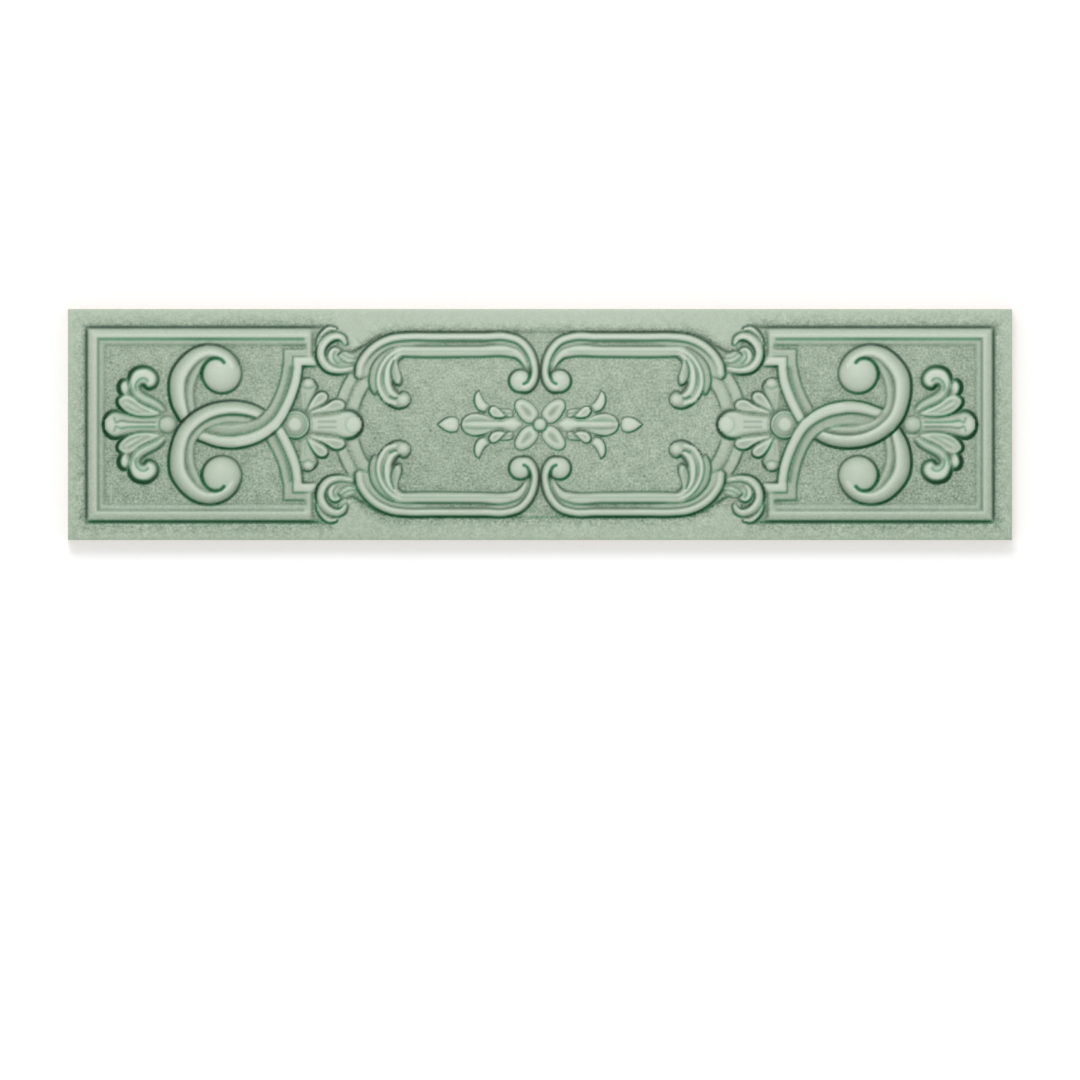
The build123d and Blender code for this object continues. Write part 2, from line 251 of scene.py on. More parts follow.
def inside_outline(path, part):
    """Even-odd test: whether a ray along +X from a grid point crosses the closed outline an odd time."""
    x0, y0 = path[:, 0], path[:, 1]
    x1, y1 = np.roll(x0, -1), np.roll(y0, -1)
    level = Y[part][..., None]
    spans = (y0 > level) != (y1 > level)
    crossing = x0 + (level - y0) / np.where(y1 == y0, 1, y1 - y0) * (x1 - x0)
    return (spans & (X[part][..., None] < crossing)).sum(axis=-1) % 2 == 1


def lay_lobe(curves, rise, slope, line=1.0, shade=(0.4, 0.9), dish=0.0, base=0.0, soft=(0.34, 0.3), tint=0.0,
             flip=1):
    """A lobe inside an outline of smooth curves, whose ends are joined straight where they don't meet.

    Its height is base + rise (1 - (1 - depth / slope)^2) up to the slope's width from the outline, with a
    darker hollow of dish beyond it. A third value of the outline's points is the line's strength there. A
    weak line is narrower inside the outline, down to 0.4 of its width.
    """
    hollow_tone = 1.9
    outline_reach = 2.5
    rows = [[(*point, line)[:3] for point in curve] for curve in curves]
    path = np.concatenate([curve_through(curve) for curve in rows]) * [1, flip, 1]
    part, distance, index = nearest(path, outline_reach)
    depth = np.where(inside_outline(path, part), distance, -distance)
    swell = 1 - (1 - np.clip(depth / slope, 0, 1)) ** 2
    hollow = dish * ease(depth, 0.7 * slope, 1.7 * slope)
    shades = shade[0] + (shade[1] - shade[0]) * swell - hollow_tone * hollow
    strength = np.clip(path[index, 2], 0, strongest_line)
    widths = (soft[0] * (0.4 + 0.6 * strength), soft[1])
    lay(part, -depth, base + rise * swell - hollow, shades, strength, widths, tint)


def two_sided(side):
    """An outline made of its upper side and that side's mirror image in Y."""
    return [side, [(x, -y, *more) for x, y, *more in reversed(side)]]


def cut(points, width, dark, depth=0.3, tint=0.4, flip=1):
    """A line cut along a curve: a furrow of the given depth, with dark glaze of the given tint in it, which
    also paints the shade in the furrow.
    """
    neutral_facing = -0.3
    path = curve_through(points) * [1, flip]
    part, distance, _ = nearest(path, 3 * width)
    trough = furrow(distance, width)
    marked = dark * trough > pool_and_groove_shade[part]
    height[part] -= depth * trough
    green[part] = np.where(marked, tint, green[part])
    outward[part] = np.where(marked, neutral_facing, outward[part])
    downward[part] = np.where(marked, 0, downward[part])
    pool_and_groove_shade[part] = np.maximum(pool_and_groove_shade[part], dark * trough)


def thin_and_lit_crest(points, width, flip=1):
    """A sharp edge along a curve, where thin glaze is pale, with the light on the crest painted in, and clear
    of pools by a bell curve across it.
    """
    thin_and_lit_tone = 1.1
    cleared = 0.85
    path = curve_through(points) * [1, flip]
    part, distance, _ = nearest(path, 3 * width)
    thin_and_lit = bell(distance, width)
    tone[part] += thin_and_lit * (thin_and_lit_tone - tone[part])
    pool_and_groove_shade[part] *= 1 - cleared * thin_and_lit


both_sides = (1, -1)
ring_rise, ring_tone = 0.5, 0.5
ring_x = -37.0
reach = np.hypot(X - ring_x, Y)
ring_fade = ease(np.abs(Y), 3.5, 6) * (1 - ease(np.abs(Y), 15, 17)) * (X < -48)
for inner, outer in ((21.1, 24.3), (25.7, 28.7)):
    band = ease(reach, inner - 0.3, inner + 0.5) * (1 - ease(reach, outer - 0.5, outer + 0.3)) * ring_fade
    height += ring_rise * band
    tone += band * (ring_tone - tone)
    mottled -= 0.6 * band
# Dark glaze pools at the bands' edges, with painted shade in it.
for radius, dark in ((28.8, 0.55), (25.2, 0.22), (21.0, 0.5)):
    pool_and_groove_shade = np.maximum(pool_and_groove_shade, dark * bell(reach - radius, 0.4) * ring_fade)

fan_x = -77.8
back_lobe = [[(-74.2, 4.6, 0.2), (-73, 6.7, 0.25), (-71.8, 9, 0.3), (-71.1, 10.6, 0.7), (-70.6, 11.9, 0.95),
              (-71, 13, 1), (-72.2, 14.2, 1), (-73.8, 14.8, 0.95), (-75.3, 14.6, 0.7)],
             [(-76.6, 10, 0), (-76, 4.4, 0)]]
petal_far = [[(-74.2, 4.3, 0.5), (-73.2, 6.7, 0.68), (-72, 8.7, 0.8), (-70.8, 10.1, 0.92), (-69.4, 10.6, 1),
              (-68.1, 10.3, 1.05), (-67.3, 9.3, 1), (-67.4, 8.1, 0.7), (-68.5, 6.9, 0.42), (-70.2, 5.9, 0.42),
              (-72.5, 4.7, 0.45), (-74.2, 3.9, 0.3)]]
petal_near = [[(-73.6, 3.6, 0.2), (-71, 5, 0.45), (-69, 5.9, 0.65), (-67.4, 6.9, 0.85), (-66.3, 7.7, 0.92),
               (-64.8, 8.15, 0.95), (-63.2, 7.9, 0.95), (-62.1, 7.1, 0.95), (-61.7, 6, 0.9), (-62.3, 5, 0.6),
               (-64, 4.4, 0.35), (-66, 4.1, 0.28), (-70, 3.7, 0.2), (-73.6, 3.3, 0.1)]]
tongue = two_sided([(-73.6, 2.6, 0.2), (-68, 3, 0.25), (-64.5, 3.6, 0.3), (-62.4, 4.4, 0.65),
                    (-60.8, 4.6, 0.95), (-59.1, 4.2, 1.05), (-57.6, 3.1, 1.15), (-56.6, 1.6, 1.18),
                    (-56.35, 0, 1.18)])
for flip in both_sides:
    lay_lobe(back_lobe, 1.4, 1.2, shade=(0.4, 0.5), soft=(0.42, 0.3), flip=flip)
    lay_dome(-73.5, 13, 1.5, 0.5, line=0.05, shade=(0.5, 0.85), base=1.2, flip=flip)
    cut([(-75.2, 12), (-73.8, 11.5), (-72, 12)], 0.4, 0.2, flip=flip)
    for y in (9.8, 8.2, 6.8):
        cut([(-74.7, y), (-74.7, y - 0.7)], 0.3, 0.13, flip=flip)
    lay_lobe(petal_far, 1.8, 0.85, shade=(0.85, 1.1), dish=0.42, flip=flip)
    lay_lobe(petal_near, 1.9, 0.85, shade=(0.85, 1.1), dish=0.42, flip=flip)
lay_lobe(tongue, 2.0, 1.3, shade=(0.4, 0.75), soft=(0.5, 0.4))
lay_dome(-59.2, 0, 2.6, 0.4, line=0.25, shade=(0.75, 0.92), base=1.8)
for y in (0.9, -0.9):
    cut([(-70.3, y), (-65, y)], 0.35, 0.2, tint=0)


def circle(x, radius):
    """Points round a circle on the middle line."""
    turn = np.linspace(0, 2 * np.pi, 33)
    return np.stack([x + radius * np.cos(turn), radius * np.sin(turn)], axis=-1)


cut(circle(fan_x, 5.4), 0.33, 0.16, depth=0.1)
lay_dome(fan_x, 0, 4.5, 1.5, line=1.0, shade=(1.0, 0.25))
cut(circle(fan_x, 3.6), 0.28, 0.26, tint=0.8)
thin_and_lit_crest(circle(fan_x, 4.05), 0.34)
lay_lobe([circle(fan_x, 2.5)], 0.9, 0.9, line=0.05, shade=(0.1, 0.85), base=1.5)

# End palmettes: a bead, a long keeled tongue, and a ribbed petal, a lobe and a curled stem on each side.
# Their round ends stand highest, so the glaze pools darkest round them, with painted shade there.
palm_x = -118.3
palm_tongue = two_sided([(-119, 2.8, 0), (-124, 2.6, 0), (-128.5, 2.8, 0.1), (-131.3, 3.4, 0.4),
                         (-133, 4, 0.7), (-134.4, 4.5, 0.95), (-135.8, 4.5, 1.05), (-137.2, 3.8, 1.05),
                         (-138.4, 2.2, 1.05), (-138.9, 0, 1.05)])
petal = [[(-120.4, 3.2, 0.4), (-122.5, 2.6, 0.55), (-125.5, 2.3, 0.65), (-128.5, 2.6, 0.7), (-131, 3.4, 0.78),
          (-133, 4.7, 0.95), (-134.2, 6, 1.1), (-134.6, 7.3, 1.1), (-134.2, 8.4, 1.05), (-133.3, 9, 0.9),
          (-132.3, 9.2, 0.5), (-131, 9.3, 0.2), (-129.4, 8.8, 0), (-127.2, 7, 0), (-125.1, 5.9, 0),
          (-123, 5.05, 0), (-121, 4, 0), (-120.4, 3.6, 0)]]
lobe = [[(-132.3, 9.2, 0.6), (-133.3, 9.7, 1), (-134, 10.9, 1.15), (-134.1, 12.4, 1.15), (-133.5, 13.7, 1.15),
         (-132.5, 14.4, 1.1), (-131.5, 14.3, 0.9), (-130.9, 13.8, 0.5)], [(-130.2, 11, 0), (-131, 9.3, 0)]]
curl = [[(-120.3, 3.7, 0.35), (-122, 4.5, 0.5), (-124, 5.45, 0.55), (-126, 6.3, 0.55), (-128, 7.5, 0.52),
         (-129.4, 8.8, 0.47), (-130.3, 10.6, 0.42), (-130.9, 13, 0.5), (-130.8, 14.7, 0.9),
         (-130.2, 16.5, 1.1), (-129, 17.8, 1.15), (-127.5, 18.4, 1.15), (-126, 18.6, 1.15),
         (-124.3, 18.3, 1.1), (-122.8, 17.4, 1.05), (-121.6, 16, 1), (-121.2, 14.5, 0.95),
         (-121.5, 13, 0.95), (-122.3, 11.9, 0.95), (-123.5, 11.3, 0.95), (-124.6, 11.2, 0.95),
         (-125.3, 11.6, 0.9), (-125.8, 12.2, 0.9)],
        [(-125.8, 12.2, 0.9), (-126.3, 12.4, 0.85), (-126.8, 12.1, 0.7), (-126.9, 11.4, 0.6),
         (-126.4, 10.6, 0.55)],
        [(-126.4, 10.6, 0.6), (-125.5, 10, 0.65), (-123.5, 8.9, 0.68), (-121.5, 7.8, 0.7), (-120, 6.6, 0.68),
         (-119.2, 5.5, 0.55), (-118.7, 4.8, 0.35)]]
petal_ridge = [(-131.6, 6.9, 0.3), (-130, 5.9, 0.4), (-128.3, 4.9, 0.35), (-126.6, 4.2, 0.15)]
petal_rim = [(-130.8, 8.7), (-129.3, 8), (-127.2, 6.35), (-125.1, 5.2), (-123.1, 4.4), (-121.6, 3.6)]
keel = [(-134.8, 0, 0.7), (-131, 0, 0.6), (-127, 0, 0.45), (-121.8, 0, 0.45)]
keel_line = [(-134.7, 0.6), (-133.3, 1.15), (-131, 0.85), (-128, 0.75), (-122.4, 0.75)]
stem_line = [(-121, 4.7), (-123.5, 6.1), (-126, 7.2), (-128.3, 8.8), (-129.5, 10.9), (-130.2, 13)]
eye_line = [(-124.6, 13.9), (-125.2, 14.5), (-126.2, 14.7), (-127.3, 14.3), (-128.2, 13.3), (-128.6, 12),
            (-128.3, 10.8)]
heavy = (0.65, 0.34)
palm_tint = 0.6
lay_lobe(palm_tongue, 2.1, 1.6, shade=(0.15, 0.5), soft=heavy, tint=palm_tint)
lay_dome(-135.4, 0, 3.0, 0.4, line=0.05, shade=(0.4, 0.95), base=1.7)
lay_roll(keel, 0.4, lines=(0.1, 0.1), shade=(0.7, 0.92), base=1.7)
for flip in both_sides:
    lay_lobe(lobe, 2.0, 1.5, shade=(0.15, 0.92), soft=heavy, tint=palm_tint, flip=flip)
    lay_lobe(petal, 2.1, 0.8, shade=(0.6, 1.1), dish=0.36, soft=(0.5, 0.28), tint=palm_tint, flip=flip)
    lay_roll(petal_ridge, 0.3, lines=(0, 0), shade=(0.6, 1.0), base=1.8, flip=flip)
    cut([(-130.6, 7.3), (-128.5, 6.2), (-126.8, 5.2), (-124.6, 4.2)], 0.45, 0.1, flip=flip)
    cut([(-131.3, 5.6), (-129.3, 4.5), (-127.2, 3.8)], 0.4, 0.1, flip=flip)
for flip in both_sides:
    green_below = 0.5 - 0.5 * flip
    cut(keel_line, 0.35, 0.33, tint=green_below, flip=flip)
    cut([(-135.3, 2), (-134.8, 0.6)], 0.33, 0.3, flip=flip)
    lay_lobe(curl, 2.7, 1.7, shade=(0.15, 0.97), soft=heavy, tint=palm_tint, flip=flip)
    thin_and_lit_crest(petal_rim, 0.34, flip=flip)
    cut(eye_line, 0.35, 0.42, tint=0.8, flip=flip)
    # A soft green patch painted in the curl's eye as its shade.
    cut([(-125.6, 13.4), (-127, 13.2), (-127.6, 12)], 0.8, 0.13, tint=0.8, flip=flip)
    cut(stem_line, 0.33, 0.2, tint=0.7, flip=flip)
    cut([(-121, 5.7), (-123, 6.9), (-126, 8.5), (-127.9, 10.2)], 0.4, 0.13, flip=flip)
lay_dome(palm_x, 0, 2.8, 2.3, line=0.45, shade=(0.45, 0.7))

# Knots: two C-scrolls with ball ends. The lower one runs on as a ring over the upper one, through the
# strap, and each has a low fillet along its inside that ends in a hook round its ball.
ball_x, ball_y, ball_radius = -101.1, 16.2, 6.35
fillet = [(-104.2, 21.9, 0.3, 0, 0), (-107.1, 20, 0.9, 0, 0), (-109.55, 16.9, 1.4, 0.35, 0),
          (-111.15, 12.5, 1.45, 0.47, 0), (-111.5, 8.5, 1.5, 0.47, 0)]
scroll = [(-96.8, 18.4, 1.58, 0, 0.87), (-97.6, 19.85, 1.65, 0, 0.88), (-99.2, 21.5, 1.8, 0, 0.9),
          (-102, 23, 1.95, 0, 0.92), (-105.15, 23.5, 2.0, 0.1, 0.95), (-108.7, 22.5, 2.3, 0.3, 0.95),
          (-112.45, 19.3, 2.6, 0.5, 0.95), (-114.95, 15, 2.75, 0.5, 0.95), (-115.35, 10.6, 2.65, 0.52, 0.95)]
hook = [(-107.4, 14.6), (-107.5, 16.5), (-106.6, 19), (-105, 20.6), (-103, 21.1), (-101.3, 20.6),
        (-100.4, 19.7)]
upper_end = [(-114.75, 6.6, 2.45, 0.55, 1), (-113.2, 2.5, 1.9, 0.65, 1)]
ring = [(-114.75, -6.5, 2.5, 0.95, 0.55), (-113.1, -2.25, 2.4, 0.95, 0.57), (-109.5, 1.6, 2.35, 1, 0.6),
        (-104.95, 4.2, 2.3, 1.02, 0.65), (-100, 5.35, 2.25, 1.05, 0.68), (-95, 5.3, 2.2, 1.05, 0.68),
        (-90.5, 4.15, 2.0, 1.05, 0.68), (-87.4, 2.6, 1.7, 1, 0.65)]
ring_fillet = [(-110.7, -4.5, 1.55, 0, 0.45), (-108.4, -1.4, 1.5, 0, 0.42), (-105, 0.7, 1.4, 0, 0.4),
               (-101, 1.75, 1.4, 0, 0.37), (-97, 1.95, 1.4, 0, 0.35), (-93, 1.55, 1.3, 0, 0.35),
               (-90.5, 1.2, 1.1, 0, 0.35)]
upper_fillet_end = [(-110.9, 4.5, 1.5, 0.47, 0)]
fillet_section = {"rise": 1.3, "shade": (0.05, 0.58), "power": 3, "open_start": True}
scroll_section = {"rise": 3.0, "shade": (0.08, 1.1), "open_start": True}
fillet_lean, scroll_lean = 0.4, 0.66
hook_section = {"width": 0.42, "dark": 1.15, "tint": 1}


def below(stations):
    """Stations reflected in Y, where the left outline becomes the right one."""
    return [(x, -y, half, right, left) for x, y, half, left, right in stations]


for flip in both_sides:
    lay_dome(ball_x, ball_y, ball_radius, 3.6, line=0.85, flip=flip)
lay_roll(fillet + upper_fillet_end, lean=fillet_lean, **fillet_section)
lay_roll(scroll + upper_end, lean=scroll_lean, **scroll_section)
cut(hook, **hook_section)

# Straps: an S-shaped strap that runs from the volute through the ring, a strap below that it crosses, and
# a low step along their inner side. Their heads turn square towards the volutes.
s_strap = [(-76.85, 18.4, 1.5, 1, 0.5), (-77.55, 14, 1.55, 0.98, 0.5), (-78.95, 9.5, 1.55, 0.92, 0.5),
           (-80.95, 5, 1.6, 0.85, 0.5), (-83.4, 1, 1.65, 0.85, 0.5), (-87, -2.2, 1.8, 0.9, 0.5),
           (-92, -4.6, 1.95, 0.95, 0.55), (-97, -5.6, 2.0, 0.97, 0.6), (-102, -5.35, 1.9, 0.97, 0.55),
           (-108, -3.6, 1.6, 0.97, 0.5)]
low_strap = [(-76.9, -18.4, 1.5, 0.5, 0.95), (-77.5, -14, 1.55, 0.5, 0.88), (-79, -9.5, 1.6, 0.5, 0.82),
             (-80.8, -5.5, 1.6, 0.5, 0.82), (-83.3, -1, 1.5, 0.5, 0.82)]
step = [(-80, 19, 1.6, 0.2, 0.55), (-80.95, 14, 1.6, 0.2, 0.55), (-82.4, 9.5, 1.62, 0.2, 0.55),
        (-84.7, 5, 1.6, 0.2, 0.55), (-87.6, 1.6, 1.65, 0.2, 0.55)]
inner_step = [(-92.3, -0.9, 1.8, 0.2, 0.45), (-97, -1.7, 1.9, 0.2, 0.35), (-101.5, -1.6, 1.8, 0.2, 0.3),
              (-106, -0.6, 1.6, 0.2, 0.3)]
low_step = [(-80, -19, 1.6, 0.57, 0), (-81.4, -12.5, 1.7, 0.57, 0), (-83.3, -8, 1.7, 0.55, 0),
            (-85.2, -4.6, 1.6, 0.55, 0)]
step_head = [[(-81.5, 18.5, 0.55), (-81.5, 24.05, 0.55)],
             [(-81.5, 24.05, 0.55), (-77, 24.05, 0.55), (-74.2, 24.05, 0.4)],
             [(-74.2, 24.05, 0), (-74.2, 21, 0)],
             [(-74.2, 21, 0), (-78, 21, 0)], [(-78, 21, 0), (-78, 18.5, 0)]]
strap_head = [[(-78.5, 18, 0.5), (-78.5, 21.6, 0.55)],
              [(-78.5, 21.6, 0.55), (-75, 21.6, 0.55), (-71.8, 21.6, 0.1)],
              [(-70.8, 18.5, 0.5), (-72.5, 18.5, 0.8), (-75.5, 18.5, 0.95)],
              [(-75.5, 18.5, 0), (-75.5, 18, 0)]]
strap_shade = (0.58, 0.89)
strap_soft = (0.25, 0.34)
step_section = {"rise": 1.0, "shade": (0.05, 0.4), "power": 4, "spread": 0, "open_start": True}
strap_section = {"rise": 2.5, "shade": strap_shade, "soft": strap_soft, "tint": 0.6, "open_start": True}
step_lean = 0.35
over_all = 6.0
for flip in both_sides:
    lay_lobe(step_head, 1.0, 0.5, shade=(0.2, 0.4), flip=flip)
    lay_lobe(strap_head, 2.4, 0.5, shade=strap_shade, soft=strap_soft, flip=flip)
lay_roll(low_step, lean=step_lean, **step_section)
lay_roll(low_strap, power=8, **strap_section)
lay_roll(step + inner_step, lean=-step_lean, **step_section)
lay_roll(s_strap, lean=-0.3, power=4, **strap_section)
lay_roll(below(fillet) + ring_fillet, lean=-fillet_lean, **fillet_section)
lay_roll(below(scroll) + ring, lean=-scroll_lean, open_end=True, **scroll_section)
cut(hook, flip=-1, **hook_section)
lay_roll(step + inner_step[:2], lean=-step_lean, lap=over_all, open_end=True, **step_section)
lay_roll(s_strap[:8], power=8, lap=over_all, open_end=True, **strap_section)
for flip in both_sides:
    cut([(-79.5, 18), (-80.1, 14), (-81.4, 9.5), (-83.2, 5.4)], 0.6, 0.13, depth=0, tint=1, flip=flip)

# Volutes: a curled leaf at each corner of the middle panel, with a rolled edge, a turned-up tip and a
# small folded leaf in its eye.
volute = [(-61.8, 26, 0.75, 0.5, 0.9), (-62.6, 27.3, 1.15, 0.75, 0.95), (-64, 28, 1.3, 0.92, 0.85),
          (-66, 27.8, 1.45, 0.95, 0.5), (-68.4, 26, 1.5, 1, 0.42), (-69.75, 23, 1.5, 0.9, 0.85),
          (-69.2, 20.2, 1.5, 0.75, 0.9), (-67.2, 17.9, 1.45, 0.65, 1), (-64, 17, 1.15, 0.55, 0.95),
          (-59.8, 17.6, 0.9, 0.45, 0.3)]
tip = [(-71, 25.2, 0.35, 0.6, 0.4), (-70.3, 27.4, 0.6, 0.75, 0.45), (-68.8, 29.3, 0.85, 0.8, 0.5),
       (-66.8, 30.5, 0.9, 0.85, 0.5), (-65, 30.4, 0.6, 0.95, 0.5)]
eye_leaf = [(-63.6, 23.4, 0.6, 0.3, 0.9), (-65, 24, 0.75, 0.3, 0.85), (-66.4, 22.9, 0.8, 0.3, 0.65),
            (-66.6, 21.2, 0.8, 0.3, 0.4), (-65.6, 19.6, 0.6, 0.2, 0.2)]
eye_floor = [[(-62.9, 23.8, 0), (-65.5, 25.6, 0), (-68, 23.4, 0), (-67.4, 20, 0), (-64, 18, 0),
              (-59.4, 18.6, 0), (-59, 22.4, 0)]]
inner_fold = [(-64.8, 22.7, 0.5), (-65, 21.4, 0.6), (-64.2, 20.1, 0.5)]
lower_fold = [(-63.6, 22, 0.45), (-62.2, 21, 0.6), (-60.4, 20.2, 0.7), (-58.8, 20.1, 0.7)]
upper_fold = [(-62.4, 22.8, 0.4), (-61, 21.9, 0.5), (-59.2, 21.5, 0.55)]
shoulder_line = [(-62.7, 23.2), (-61.8, 23.4), (-59.9, 23), (-58, 23.8), (-56.3, 24.9)]
eye_leaf_rim = [(-66.6, 20.2), (-66.9, 21.8), (-66.4, 23.4), (-65.4, 24), (-64.4, 23.7)]
for flip in both_sides:
    # A soft dark line painted beside the tip, on the rail's end, as its shadow.
    cut([(-71.8, 29.3), (-72.3, 27.5), (-72.4, 24), (-72.1, 20.8)], 0.4, 0.13, depth=0.1, flip=flip)
    lay_roll(tip, 1.9, shade=(0.5, 0.98), base=0.4, spread=0.3, flip=flip)
    lay_lobe(eye_floor, 0.9, 1.0, shade=(0.2, 0.32), flip=flip)
    lay_roll(eye_leaf, 1.5, shade=(0.4, 0.97), spread=0.3, flip=flip)
    lay_roll(inner_fold, 1.2, lines=(0.4, 0.45), shade=(0.4, 0.75), spread=0.3, flip=flip)
    lay_roll(lower_fold, 1.4, lines=(0.45, 0.4), shade=(0.4, 0.9), spread=0.3, flip=flip)
    lay_roll(upper_fold, 1.4, lines=(0.3, 0.35), shade=(0.4, 0.8), spread=0.3, flip=flip)
    lay_roll(volute, 2.5, lean=0.25, shade=(0.5, 1.0), soft=(0.32, 0.34), spread=0.3, tint=0.35, flip=flip)
    cut([(-64.2, 22.1), (-63.6, 22.7), (-63, 23.3)], 0.33, 0.7, flip=flip)
    cut(shoulder_line, 0.33, 0.45, tint=0.2, flip=flip)
    cut([(-63.4, 20.6), (-62.2, 19.8), (-60.6, 19.5), (-58.9, 19.9)], 0.3, 0.25, flip=flip)
    thin_and_lit_crest(eye_leaf_rim, 0.32, flip=flip)

# Cartouche: a double band round the middle panel. The outer roll ends in a ball scroll at the middle, and
# the inner band opens into an acanthus leaf at the other end.
scroll_ball = (-6.2, 13.85, 3.7)
outer_band = [(-57.6, 15.9, 1.35, 0.75, 0), (-57.3, 18.4, 1.4, 0.75, 0.2), (-55.4, 22, 1.4, 0.78, 0.5),
              (-52, 25.2, 1.4, 0.82, 0.62), (-47.5, 27.3, 1.4, 0.9, 0.65), (-42, 28, 1.35, 0.94, 0.65),
              (-34, 28, 1.35, 0.94, 0.65), (-18, 28, 1.35, 0.94, 0.65), (-10.5, 28, 1.35, 0.94, 0.65),
              (-6.5, 26.7, 1.35, 0.94, 0.65), (-3.3, 23.3, 1.35, 0.94, 0.6), (-1.65, 18.5, 1.3, 0.88, 0.55),
              (-1.65, 15.6, 1.35, 0.88, 0.75), (-2.5, 13.2, 1.45, 0.95, 0.75), (-4.1, 11.6, 1.45, 1, 0.4),
              (-6, 11.35, 1.25, 0.95, 0)]
band_hook = [(-3.3, 16.6), (-3.5, 14.8), (-4.1, 13.5), (-5.2, 12.9)]
band_floor = [(-55.4, 15.6, 1.4), (-54.9, 18.5, 1.4), (-52.9, 21.6, 1.4), (-49.7, 24, 1.3), (-46, 25.4, 1.1),
              (-42, 25.9, 1.0), (-10.5, 25.9, 1.0), (-7.8, 25, 0.9), (-5, 22.3, 0.8), (-3.5, 18.6, 0.7)]
inner_band = [(-48.6, 21.8, 0.3, 0, 0), (-47, 22.8, 0.8, 0, 0), (-45.2, 23.3, 1.4, 0.3, 0.1),
              (-43.3, 23.25, 1.7, 0.5, 0.7), (-41, 23.2, 1.75, 0.55, 0.73), (-20, 23.2, 1.75, 0.55, 0.73),
              (-10, 23.2, 1.75, 0.55, 0.73), (-7, 22.2, 1.45, 0.5, 0.75), (-5.2, 20, 0.95, 0.4, 0.7),
              (-4.4, 18.2, 0.4, 0.3, 0.45)]
leaf = [[(-43.2, 21.4, 0.85), (-44.7, 20.4, 0.85), (-45.2, 19, 0.8), (-44.9, 17.5, 0.8), (-44.2, 16, 0.8),
         (-43.9, 14, 0.85), (-44.2, 12.7, 0.85), (-44.9, 12.3, 0.85)],
        [(-44.9, 12.3, 0.85), (-46.7, 13.2, 0.85)],
        [(-46.7, 13.2, 0.85), (-45.9, 11.3, 0.85), (-44.8, 9.9, 0.85)],
        [(-44.8, 9.9, 0.85), (-43.5, 10.6, 0.8), (-42.2, 10.2, 0.8), (-41.2, 8.8, 0.8), (-41.4, 7, 0.9),
         (-42.8, 5.5, 0.95), (-45, 5, 0.95), (-47.5, 5.8, 0.95), (-49.5, 7.4, 0.95), (-51, 9.3, 0.95),
         (-51.6, 10.4, 0.8)],
        [(-51.6, 10.4, 0.75), (-52.5, 9.4, 0.75), (-53.5, 10.5, 0.72), (-54.3, 13, 0.7), (-54.2, 16, 0.66),
         (-53.5, 18.6, 0.64), (-52, 20.9, 0.64), (-50, 22.8, 0.64), (-47.5, 24.2, 0.62), (-44.5, 24.8, 0.6),
         (-42.5, 25, 0.55)]]
outer_rib = [(-48.5, 22.6, 0.25), (-50.6, 21, 0.35), (-52.2, 18.8, 0.4), (-53.1, 16, 0.4), (-53.2, 13, 0.4),
             (-52.7, 11.2, 0.3)]
middle_rib = [(-43.6, 23.9, 0.15, 0, 0), (-45.2, 23.4, 0.5, 0.2, 0.2), (-47.2, 22.3, 0.7, 0.5, 0.45),
              (-49.4, 20, 0.75, 0.55, 0.5), (-50.9, 17, 0.75, 0.55, 0.5), (-51.4, 13.8, 0.75, 0.5, 0.5),
              (-50.7, 10.5, 0.8, 0.3, 0.5), (-48.8, 7.7, 0.8, 0.2, 0.45), (-46, 6.6, 0.6, 0.1, 0.3)]
inner_rib = [(-43.4, 22.4, 0.15, 0, 0), (-44.8, 22.1, 0.4, 0.2, 0.1), (-46.2, 21, 0.75, 0.3, 0.3),
             (-47.9, 18.6, 1.0, 0.35, 0.45), (-48.6, 15.5, 1.05, 0.35, 0.5), (-48.3, 12.5, 1.05, 0.4, 0.4),
             (-47.1, 10.1, 0.95, 0.5, 0.2), (-45.3, 8.9, 0.6, 0.4, 0.1)]
short_rib = [(-45.9, 19.2, 0.25), (-45.6, 17, 0.35), (-45, 14.2, 0.3)]
leaf_rim = [(-45.8, 20), (-45.4, 18), (-44.8, 15.8), (-44.9, 14.2), (-45.6, 13.4)]
